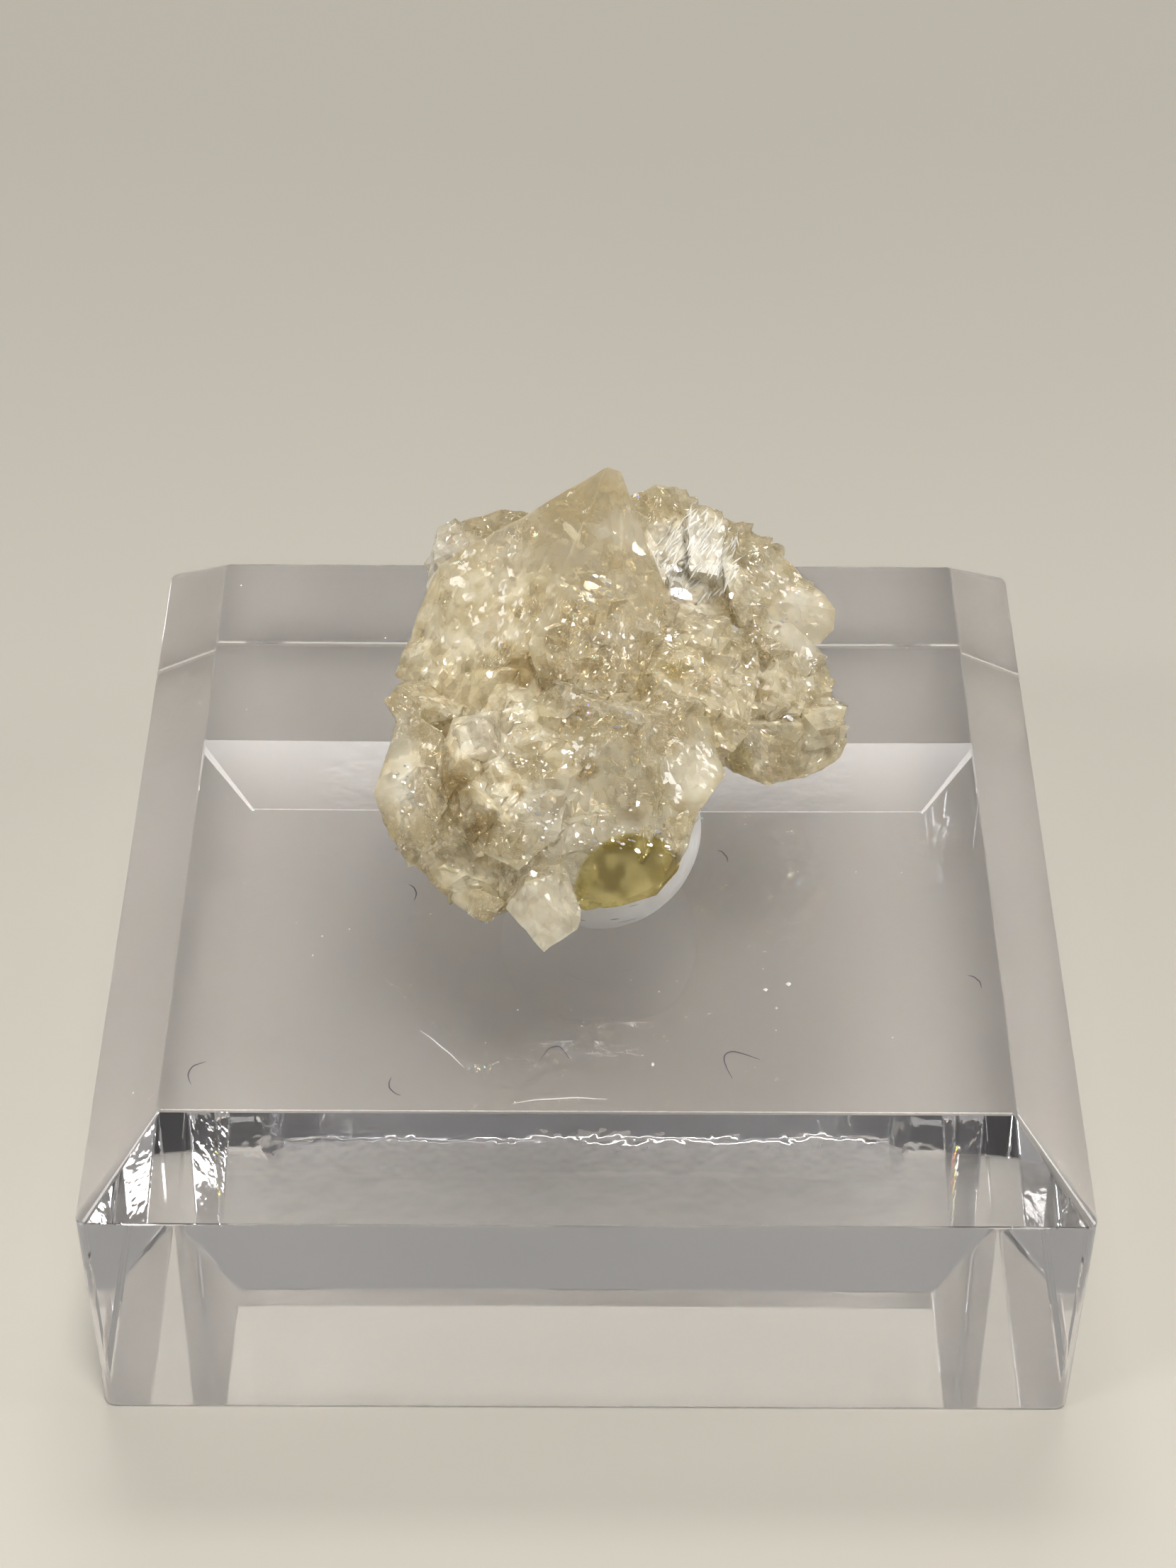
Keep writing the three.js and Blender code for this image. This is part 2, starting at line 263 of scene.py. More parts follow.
@dataclass(frozen=True)
class ClearAcrylic:
    """Cast acrylic: polished and flat on its faces, wavy on its bevels, dull on its foot."""

    tint: Colour = (0.99, 0.98, 0.995)
    ior: float = 1.49
    haze: float = 0.0
    wave: float = 0.0
    short: float = 1.3
    long: float = 6.0
    calm: float = 15.5
    fade: float = 2.5

    def material(self) -> bpy.types.Material:
        """Makes the material; the waves fade out near the upright edges."""
        sheet = NodeSheet("clear_acrylic")
        inputs = {
            "Base Color": self.tint,
            "Roughness": 0.0,
            "IOR": self.ior,
            "Transmission Weight": 1 - self.haze,
        }
        if self.wave:
            across = sheet.node("SeparateXYZ", None, {0: sheet.place()}, 0)
            ripples = sheet.noise(self.short, 2.0, sheet.place((0.8, 1.0, 1.0))) * self.wave
            ripples = ripples + sheet.noise(self.long, 1.0) * (2 * self.wave)
            ripples = ripples * across.within(-self.calm, self.calm, self.fade)
            inputs["Normal"] = sheet.bumped(ripples, 1.0)
        return sheet.finished(sheet.node("BsdfPrincipled", None, inputs, "BSDF"))


@dataclass(frozen=True)
class WhitePutty:
    """Smooth white putty, a little soft to the light, with smudges and short dark marks."""

    white: Colour = (0.86, 0.85, 0.83)
    smudge: Colour = (0.70, 0.68, 0.65)
    mark: Colour = (0.13, 0.12, 0.12)
    mark_levels: tuple[float, float] = (24.0, 21.6)
    softness: float = 0.25
    reach: Place = (0.0012, 0.0010, 0.0008)
    grain_depth: float = 0.03
    ior: float = 1.48

    def material(self) -> bpy.types.Material:
        """Makes the material."""
        sheet = NodeSheet("white_putty")
        smudges = sheet.noise(2.4, 4.0).between(0.48, 0.75)
        along = sheet.place((0.35, 0.35, 2.6), (0.15, 0.1, 0.0))
        marks = sheet.noise(0.8, 2.0, along).between(0.70, 0.74)
        low = sheet.node("SeparateXYZ", None, {0: sheet.place()}, 2).between(*self.mark_levels)
        colour = sheet.mixed(smudges * 0.5, self.white, self.smudge)
        colour = sheet.mixed(marks * low * 0.8, colour, self.mark)
        grain = sheet.noise(0.5, 4.0) + sheet.noise(2.0, 2.0) * 2.0
        inputs = {
            "Base Color": colour,
            "Roughness": smudges * 0.15 + 0.33,
            "IOR": self.ior,
            "Subsurface Weight": self.softness,
            "Subsurface Radius": self.reach,
            "Subsurface Scale": 1.0,
            "Normal": sheet.bumped(grain, self.grain_depth),
        }
        return sheet.finished(sheet.node("BsdfPrincipled", None, inputs, "BSDF"))


@dataclass(frozen=True)
class HoneyCrystal:
    """Pale honey crystal: clear where it grew smooth, milky and hackly where it is rough."""

    clear: Colour = (1.0, 0.95, 0.79)
    cream: Colour = (0.99, 0.85, 0.53)
    milk: Colour = (1.0, 0.92, 0.69)
    white: Colour = (1.0, 0.98, 0.92)
    # Brown of the dark spots: partly the crystal's stain, partly painted shade in its hollows.
    stain_and_shade: Colour = (0.44, 0.32, 0.13)
    # Dark olive of the window: partly its tint, partly painted shade.
    olive_and_shade: Colour = (0.44, 0.34, 0.07)
    yellow: Colour = (0.80, 0.68, 0.26)
    least_body: float = 0.22
    frost_body: float = 0.55
    pale_body: float = 0.3
    # Painted highlight: how much more milky the sharp convex edges are.
    ridge_highlight_body: float = 0.06
    chip: float = 0.42
    chip_slope: float = 0.6
    grain: Place = (1.0, 1.0, 0.4)
    polish: float = 0.02
    frosting: float = 0.2
    ior: float = 1.56
    loss: Colour = (0.92, 0.78, 0.42)
    density: float = 85.0

    def material(self) -> bpy.types.Material:
        """Makes the material."""
        sheet = NodeSheet("honey_crystal")
        rough, milk, ridge_highlight = (sheet.attribute(name) for name in ("rough", "milk", "ridge_highlight"))
        # White patches of milky crystal, and the sharp convex edges whitened as a painted
        # highlight.
        pale = sheet.attribute("pale") * 0.8 + ridge_highlight * 0.15
        grown = sheet.place(self.grain, GROWTH_TURN)
        clouds, shades, flecks = (sheet.attribute(name) for name in ("cloud", "shade", "fleck"))
        height = sheet.chips(self.chip, self.chip_slope, grown) * (rough * 0.86 + 0.06)
        frosted = milk * (clouds.between(0.3, 0.65) * 0.45 + shades * 0.7)
        # Dark brown spots: partly stain, partly painted shade in the hollows.
        stain_and_shade_spots = sheet.attribute("stain_and_shade") * 0.8 + clouds * 0.7 + flecks * 0.25
        stain_and_shade_spots = stain_and_shade_spots.between(0.6, 1.15) * 0.85
        freckles = flecks.between(0.74, 0.8) * rough * 0.3
        # The olive window faces down and forward: its dark olive is partly tint, partly painted
        # shade.
        green = (sheet.attribute("olive_and_shade") + flecks * 0.3).between(0.4, 0.95) * 0.95
        window = sheet.mixed(clouds.between(0.38, 0.62), self.olive_and_shade, self.yellow)
        marks = ((stain_and_shade_spots, self.stain_and_shade), (freckles, self.stain_and_shade), (green, window))
        glass_colour = sheet.mixed(flecks.between(0.3, 0.6), self.clear, self.white)
        body_colour = sheet.mixed(clouds.between(0.3, 0.75), self.cream, self.milk)
        body_colour = sheet.mixed(pale, body_colour, self.white)
        for share, tint in marks:
            glass_colour = sheet.mixed(share, glass_colour, tint)
            body_colour = sheet.mixed(share, body_colour, tint)
        shared = {"IOR": self.ior, "Normal": sheet.bumped(height, 1.0)}
        glass = {"Base Color": glass_colour, "Roughness": frosted * self.frosting + self.polish}
        glass["Transmission Weight"] = 1.0
        body = {"Base Color": body_colour, "Roughness": frosted * 0.25 + 0.1}
        clear = sheet.node("BsdfPrincipled", None, {**shared, **glass}, "BSDF")
        milky = sheet.node("BsdfPrincipled", None, {**shared, **body}, "BSDF")
        share = frosted * self.frost_body + pale * self.pale_body + self.least_body
        # Painted highlight: the sharp edges get more of the milky body.
        share = share + ridge_highlight * self.ridge_highlight_body
        surface = sheet.node("MixShader", None, {0: share, 1: clear, 2: milky})
        inside = {"Color": self.loss, "Density": self.density}
        return sheet.finished(surface, sheet.node("VolumeAbsorption", None, inside))


@dataclass(frozen=True)
class PearlyFlaw:
    """The silvery film of air in a small crack inside the crystals, and the silver of the glint
    leaves put on the skin.
    """

    silver: Colour = (0.97, 0.95, 0.90)
    grain: Place = (1.0, 1.0, 0.25)

    def material(self) -> bpy.types.Material:
        """Makes the material."""
        sheet = NodeSheet("pearly_flaw")
        fibres = sheet.noise(0.3, 3.0, sheet.place(self.grain, GROWTH_TURN))
        inputs = {
            "Base Color": self.silver,
            "Metallic": 0.85,
            "Roughness": fibres * 0.25 + 0.06,
            "Normal": sheet.bumped(fibres, 0.02),
        }
        return sheet.finished(sheet.node("BsdfPrincipled", None, inputs, "BSDF"))


@dataclass(frozen=True)
class SilkySplinter:
    """White fibrous crystal, split along its length."""

    white: Colour = (0.96, 0.93, 0.85)
    shade: Colour = (0.82, 0.78, 0.68)

    def material(self) -> bpy.types.Material:
        """Makes the material."""
        sheet = NodeSheet("silky_splinter")
        fibres = sheet.noise(0.18, 2.0)
        inputs = {
            "Base Color": sheet.mixed(fibres, self.white, self.shade),
            "Roughness": fibres * 0.2 + 0.3,
            "IOR": 1.45,
            "Transmission Weight": 0.25,
            "Normal": sheet.bumped(fibres, 0.03),
        }
        return sheet.finished(sheet.node("BsdfPrincipled", None, inputs, "BSDF"))


@dataclass(frozen=True)
class DullFibre:
    """Cotton lint or dust."""

    colour: Colour
    patchy: float = 0.25

    def material(self) -> bpy.types.Material:
        """Makes the material."""
        sheet = NodeSheet("dull_fibre")
        darker = tuple(value * (1 - self.patchy) for value in self.colour)
        grain = sheet.noise(0.1, 2.0)
        inputs = {
            "Base Color": sheet.mixed(grain, self.colour, darker),
            "Roughness": 0.85,
            "Specular IOR Level": 0.2,
            "Normal": sheet.bumped(grain, 0.01),
        }
        return sheet.finished(sheet.node("BsdfPrincipled", None, inputs, "BSDF"))


@dataclass(frozen=True)
class PalePaper:
    """The pale floor, darker towards the back: painted shade for the light's fall-off."""

    # The back colour is darker than the front one: painted shade.
    front: Colour = (0.548, 0.521, 0.461)
    back: Colour = (0.354, 0.334, 0.294)

    def material(self) -> bpy.types.Material:
        """Makes the material."""
        sheet = NodeSheet("pale_paper")
        # Painted shade: the colour darkens from front to back with the distance away.
        painted_falloff = sheet.node("SeparateXYZ", None, {0: sheet.place()}, 1).between(-90.0, 130.0)
        shades = painted_falloff + sheet.noise(60.0, 2.0) * 0.1
        inputs = {
            "Base Color": sheet.mixed(shades, self.front, self.back),
            "Roughness": 0.9,
            "Specular IOR Level": 0.2,
        }
        return sheet.finished(sheet.node("BsdfPrincipled", None, inputs, "BSDF"))


def new_piece(
    name: str, points: np.ndarray, faces: np.ndarray, material: bpy.types.Material
) -> bpy.types.Object:
    """Makes a flat-shaded mesh object at the origin.

    Args:
        name: the object's name.
        points: places in millimetres, one row each.
        faces: corner numbers, one row for each face.
        material: what it is made of.

    Returns:
        The linked object.
    """
    mesh = bpy.data.meshes.new(name)
    mesh.from_pydata((points * MM).tolist(), [], faces.tolist())
    mesh.materials.append(material)
    mesh.update()
    piece = bpy.data.objects.new(name, mesh)
    bpy.context.scene.collection.objects.link(piece)
    return piece


def set_smooth(piece: bpy.types.Object) -> None:
    """Shades a piece smooth all over."""
    mesh = piece.data
    mesh.polygons.foreach_set("use_smooth", np.ones(len(mesh.polygons), bool))


def joined(parts: list[tuple[np.ndarray, np.ndarray]]) -> tuple[np.ndarray, np.ndarray]:
    """Several meshes as one: each one's corner numbers go up by the points before it."""
    sizes = [len(points) for points, _ in parts]
    before = np.cumsum([0, *sizes[:-1]])
    faces = [faces + first for (_, faces), first in zip(parts, before)]
    return np.concatenate([points for points, _ in parts]), np.concatenate(faces)


def smooth_step(values: np.ndarray, low: float, high: float) -> np.ndarray:
    """A smooth step from 0 at low to 1 at high: 3t^2 - 2t^3."""
    t = np.clip((values - low) / (high - low), 0.0, 1.0)
    return t * t * (3 - 2 * t)


def chance(keys: np.ndarray, salt: int) -> np.ndarray:
    """A repeatable number from 0 to 1 for each row of whole numbers.

    The row is multiplied by large odd numbers, mixed by shifts and taken modulo 2^32.

    Args:
        keys: whole numbers, three to a row.
        salt: tells one set of numbers from another.

    Returns:
        One number for each row.
    """
    odd = np.array([73856093, 19349663, 83492791], np.uint64)
    mixed = (keys.astype(np.int64).astype(np.uint64) * odd).sum(-1) + np.uint64(salt * 2654435761)
    mixed ^= mixed >> np.uint64(17)
    mixed *= np.uint64(0x9E3779B97F4A7C15)
    mixed ^= mixed >> np.uint64(31)
    return (mixed & np.uint64(0xFFFFFFFF)).astype(np.float64) / 0xFFFFFFFF


def soft_noise(points: np.ndarray, size: float, salt: int) -> np.ndarray:
    """Smooth noise from 0 to 1: chance values on a lattice, blended by smooth steps.

    Args:
        points: places in millimetres.
        size: the lattice's pitch in millimetres.
        salt: tells one noise from another.

    Returns:
        One value for each place.
    """
    scaled = points / size
    base = np.floor(scaled)
    t = scaled - base
    t = t * t * (3 - 2 * t)
    total = np.zeros(len(points))
    for corner in np.ndindex(2, 2, 2):
        side = np.array(corner)
        weight = np.prod(np.where(side == 1, t, 1 - t), axis=-1)
        total += weight * chance(base + side, salt)
    return total


def parallel_peaks(points: np.ndarray, size: float, salt: int) -> tuple[np.ndarray, np.ndarray]:
    """Relief of many small pyramids that grew in parallel, about -0.6 to 0.6.

    A pyramid stands on a chance point in each box of a lattice. Its height at a place is its
    own chance height less the largest of the distances from its point along the facets'
    directions, and the relief is the highest of the pyramids near by.

    Args:
        points: places in millimetres.
        size: the lattice's pitch in millimetres.
        salt: tells one relief from another.

    Returns:
        The heights, and a chance shade from 0 to 1 that each pyramid has for itself.
    """
    scaled = points / size
    base = np.floor(scaled)
    highest = np.full(len(points), -np.inf)
    shade = np.zeros(len(points))
    for corner in np.ndindex(3, 3, 3):
        box = base + np.array(corner) - 1
        site = box + np.stack([chance(box, salt + n) for n in range(3)], -1)
        gauge = ((scaled - site) @ FACETS.T).max(axis=1)
        height = chance(box, salt + 3) * 0.8 - gauge
        shade = np.where(height > highest, chance(box, salt + 4), shade)
        highest = np.maximum(highest, height)
    return highest - 0.05, shade


def refined(
    points: np.ndarray, faces: np.ndarray, longest: float
) -> tuple[np.ndarray, np.ndarray]:
    """Splits every edge that is too long at its middle, until none is.

    A triangle with one, two or three long edges becomes two, three or four triangles.

    Args:
        points: places, one row each.
        faces: triangles' corner numbers.
        longest: the length above which an edge is split.

    Returns:
        The new points and triangles.
    """
    while True:
        edges = np.sort(faces[:, [[0, 1], [1, 2], [2, 0]]].reshape(-1, 2), axis=1)
        pairs, where = np.unique(edges, axis=0, return_inverse=True)
        where = where.reshape(-1, 3)
        long = np.linalg.norm(points[pairs[:, 0]] - points[pairs[:, 1]], axis=1) > longest
        if not long.any():
            return points, faces
        number = np.full(len(pairs), -1)
        number[long] = len(points) + np.arange(long.sum())
        points = np.concatenate([points, points[pairs[long]].mean(axis=1)])
        middle = number[where]
        count = (middle >= 0).sum(axis=1)
        first = np.where(count == 1, (middle >= 0).argmax(1), (middle < 0).argmax(1))
        turn = (first[:, None] + np.arange(3)) % 3
        corner = np.take_along_axis(faces, turn, 1)
        middle = np.take_along_axis(middle, turn, 1)
        a, b, c = corner.T
        ab, bc, ca = middle.T
        one, two, three = count == 1, count == 2, count == 3
        faces = np.concatenate(
            [
                corner[count == 0],
                np.stack([a, ab, c], 1)[one],
                np.stack([ab, b, c], 1)[one],
                np.stack([c, ca, bc], 1)[two],
                np.stack([a, b, bc], 1)[two],
                np.stack([a, bc, ca], 1)[two],
                np.stack([a, ab, ca], 1)[three],
                np.stack([ab, b, bc], 1)[three],
                np.stack([ca, bc, c], 1)[three],
                np.stack([ab, bc, ca], 1)[three],
            ]
        )


def triangle_normals(points: np.ndarray, faces: np.ndarray) -> np.ndarray:
    """The cross product of two edges of each triangle, twice its area long."""
    a, b, c = (points[faces[:, n]] for n in range(3))
    return np.cross(b - a, c - a)


def point_normals(points: np.ndarray, faces: np.ndarray) -> np.ndarray:
    """The area-weighted mean normal of the triangles round each point, one long."""
    flat = triangle_normals(points, faces)
    total = np.zeros_like(points)
    for n in range(3):
        np.add.at(total, faces[:, n], flat)
    return total / np.maximum(np.linalg.norm(total, axis=1, keepdims=True), 1e-12)


def long_ridges(points: np.ndarray, faces: np.ndarray, shortest: float, turn: float) -> np.ndarray:
    """The long sharp edges of a mesh that stand out.

    An edge stands out where the second triangle's middle lies below the first one's plane.

    Args:
        points: the mesh's points.
        faces: its triangles.
        shortest: the length below which an edge is left out.
        turn: the least angle between the normals of its two triangles, in radians.

    Returns:
        The two ends of each edge.
    """
    flat = triangle_normals(points, faces)
    flat = flat / np.maximum(np.linalg.norm(flat, axis=1, keepdims=True), 1e-12)
    middle = points[faces].mean(axis=1)
    edges = np.sort(faces[:, [[0, 1], [1, 2], [2, 0]]].reshape(-1, 2), axis=1)
    owner = np.repeat(np.arange(len(faces)), 3)
    order = np.lexsort(edges.T)
    edges, owner = edges[order], owner[order]
    twin = (edges[:-1] == edges[1:]).all(axis=1)
    pair, first, second = edges[:-1][twin], owner[:-1][twin], owner[1:][twin]
    bent = (flat[first] * flat[second]).sum(-1) < math.cos(turn)
    proud = ((middle[second] - middle[first]) * flat[first]).sum(-1) < 0
    long = np.linalg.norm(points[pair[:, 0]] - points[pair[:, 1]], axis=1) > shortest
    return points[pair[bent & proud & long]]


def nearness(points: np.ndarray, edges: np.ndarray, reach: float) -> np.ndarray:
    """1 on the edges and smoothly 0 at a distance of reach from the nearest of them."""
    nearest = np.full(len(points), np.inf)
    for start, end in edges:
        way = end - start
        t = np.clip((points - start) @ way / (way @ way), 0, 1)
        nearest = np.minimum(nearest, np.linalg.norm(points - start - t[:, None] * way, axis=1))
    return 1 - smooth_step(nearest, 0.1 * reach, reach)


def solid_of_node(name: str) -> tuple[np.ndarray, np.ndarray]:
    """Reads a CAD node as merged points in millimetres and triangles.

    Args:
        name: the node's name.

    Returns:
        The points and the triangles' corner numbers.
    """
    mesh = bpy.data.objects[name].data
    places = np.empty(len(mesh.vertices) * 3)
    mesh.vertices.foreach_get("co", places)
    places = places.reshape(-1, 3) / MM
    mesh.calc_loop_triangles()
    corners = np.empty(len(mesh.loop_triangles) * 3, np.int64)
    mesh.loop_triangles.foreach_get("vertices", corners)
    keys = np.round(places, 3)
    points, where = np.unique(keys, axis=0, return_inverse=True)
    faces = where.reshape(-1)[corners].reshape(-1, 3)
    whole = (faces != np.roll(faces, 1, axis=1)).all(axis=1)
    return points, faces[whole]


def grid_faces(rows: int, columns: int) -> np.ndarray:
    """The quads between rows of points that close on themselves."""
    row, column = np.mgrid[0 : rows - 1, 0:columns]
    after = (column + 1) % columns
    quads = [row * columns + column, row * columns + after]
    quads += [(row + 1) * columns + after, (row + 1) * columns + column]
    return np.stack(quads, -1).reshape(-1, 4)


@dataclass
class DisplayBlock:
    """The clear block with its bevelled top, in millimetres."""

    side: float = 50.8
    height: float = 19.05
    bevel: float = 4.0
    corner: float = 0.6
    top_corner: float = 0.25
    edge: float = 0.22
    edge_steps: int = 3
    corner_steps: int = 6
    wave: float = 0.009
    foot_haze: float = 0.07

    def _profile(self) -> list[tuple[float, float, float]]:
        """The outline from foot to top as half width, height and corner radius.

        Each bend is an arc of the edge radius between the straight lines that meet there.
        """
        half = self.side / 2
        bends = [
            ((half, 0.0), 0.0, math.pi / 2, self.corner),
            ((half, self.height - self.bevel), math.pi / 2, math.pi * 0.75, self.corner),
            ((half - self.bevel, self.height), math.pi * 0.75, math.pi, self.top_corner),
        ]
        outline = []
        for (x, z), before, after, radius in bends:
            reach = self.edge * math.tan((after - before) / 2)
            start_x = x - reach * math.cos(before)
            start_z = z - reach * math.sin(before)
            for step in range(self.edge_steps + 1):
                angle = before + (after - before) * step / self.edge_steps
                across = self.edge * (math.sin(angle) - math.sin(before))
                along = self.edge * (math.cos(before) - math.cos(angle))
                outline.append((start_x + across, start_z + along, radius))
        return outline

    def _ring(self, half: float, z: float, radius: float) -> np.ndarray:
        """A square with rounded corners: each corner is a quarter circle."""
        quarter = np.arange(4)[:, None] * math.pi / 2
        angle = quarter + np.linspace(0, math.pi / 2, self.corner_steps + 1)
        reach = (half - radius) * math.sqrt(2)
        x = reach * np.cos(quarter + math.pi / 4) + radius * np.cos(angle)
        y = reach * np.sin(quarter + math.pi / 4) + radius * np.sin(angle)
        return np.stack([x, y, np.full_like(x, z)], -1).reshape(-1, 3)

    def build(self) -> bpy.types.Object:
        """Makes the block.

        Returns:
            The block's piece.
        """
        rings = [self._ring(*level) for level in self._profile()]
        points = np.concatenate(rings)
        columns = len(rings[0])
        faces = grid_faces(len(rings), columns)
        piece = new_piece("clear_block", points, faces, ClearAcrylic().material())
        self._close(piece, columns, len(rings))
        piece.data.materials.append(ClearAcrylic(wave=self.wave).material())
        piece.data.materials.append(ClearAcrylic(haze=self.foot_haze).material())
        first = (2 * self.edge_steps + 1) * columns
        finish = np.zeros(len(piece.data.polygons), np.int32)
        finish[first : first + columns] = 1
        finish[-2] = 2
        piece.data.polygons.foreach_set("material_index", finish)
        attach(piece, BODY)
        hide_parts(Node.BLOCK.value)
        return piece

    @staticmethod
    def _close(piece: bpy.types.Object, columns: int, rows: int) -> None:
        """Closes the foot and the top with one flat face each."""
        mesh = piece.data
        sides = [tuple(face.vertices) for face in mesh.polygons]
        foot = tuple(reversed(range(columns)))
        top = tuple(range((rows - 1) * columns, rows * columns))
        places = [tuple(point.co) for point in mesh.vertices]
        mesh.clear_geometry()
        mesh.from_pydata(places, [], [*sides, foot, top])
        mesh.update()


@dataclass
class PuttyBall:
    """The wad of putty: a slightly lumpy ball, flat where it meets its neighbours."""

    x: float = 0.6
    y: float = -5.4
    floor: float = 19.05
    top: float = 26.5
    radius: float = 5.35
    half_height: float = 5.3
    sink: float = 4.2
    lump: float = 0.12
    lump_size: float = 2.6
    dimple_size: float = 1.1
    dimple_share: float = 0.3
    flat_edge: float = 0.15
    rows: int = 90
    columns: int = 144

    def build(self) -> bpy.types.Object:
        """Makes the putty.

        The radius at each height follows the ellipse r = R sqrt(1 - (z / h)^2), with soft
        noise that fades out at the flat foot and top.

        Returns:
            The putty's piece.
        """
        low = math.asin(-self.sink / self.half_height)
        high = math.asin((self.top - self.floor - self.sink) / self.half_height)
        rise = np.linspace(low, high, self.rows)
        around = np.arange(self.columns) * 2 * math.pi / self.columns
        rise, around = np.meshgrid(rise, around, indexing="ij")
        unit = np.stack(
            [np.cos(rise) * np.cos(around), np.cos(rise) * np.sin(around), np.sin(rise)], -1
        ).reshape(-1, 3)
        fade = smooth_step(rise, low, low + self.flat_edge)
        fade *= 1 - smooth_step(rise, high - self.flat_edge, high)
        lumps = soft_noise(unit * self.radius, self.lump_size, 5)
        lumps += soft_noise(unit * self.radius, self.dimple_size, 6) * self.dimple_share
        swell = 1 - (lumps * self.lump * fade.reshape(-1)) / self.radius
        scale = np.array([self.radius, self.radius, self.half_height])
        centre = np.array([self.x, self.y, self.floor + self.sink])
        skin = unit * scale * np.stack([swell, swell, np.ones_like(swell)], -1) + centre
        ends = np.array([[self.x, self.y, self.floor], [self.x, self.y, self.top]])
        points = np.concatenate([skin, ends])
        sides = grid_faces(self.rows, self.columns)
        sides = np.concatenate([sides[:, [0, 1, 2]], sides[:, [0, 2, 3]]])
        ring = np.arange(self.columns)
        after = (ring + 1) % self.columns
        last = (self.rows - 1) * self.columns
        foot = np.stack([after, ring, np.full(self.columns, len(skin))], -1)
        lid = np.stack([last + ring, last + after, np.full(self.columns, len(skin) + 1)], -1)
        faces = np.concatenate([sides, foot, lid])
        piece = new_piece("putty_ball", points, faces, WhitePutty().material())
        set_smooth(piece)
        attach(piece, BODY)
        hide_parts(Node.PUTTY.value)
        return piece


@dataclass
class Patch:
    """A round patch of the cluster: its middle and radius in millimetres, and its strength."""

    middle: Place
    radius: float
    strength: float = 1.0
    core: float = 0.55

    def share(self, points: np.ndarray) -> np.ndarray:
        """The strength inside the core, falling smoothly to 0 at the radius."""
        distance = np.linalg.norm(points - np.array(self.middle), axis=1)
        return self.strength * (1 - smooth_step(distance, self.radius * self.core, self.radius))


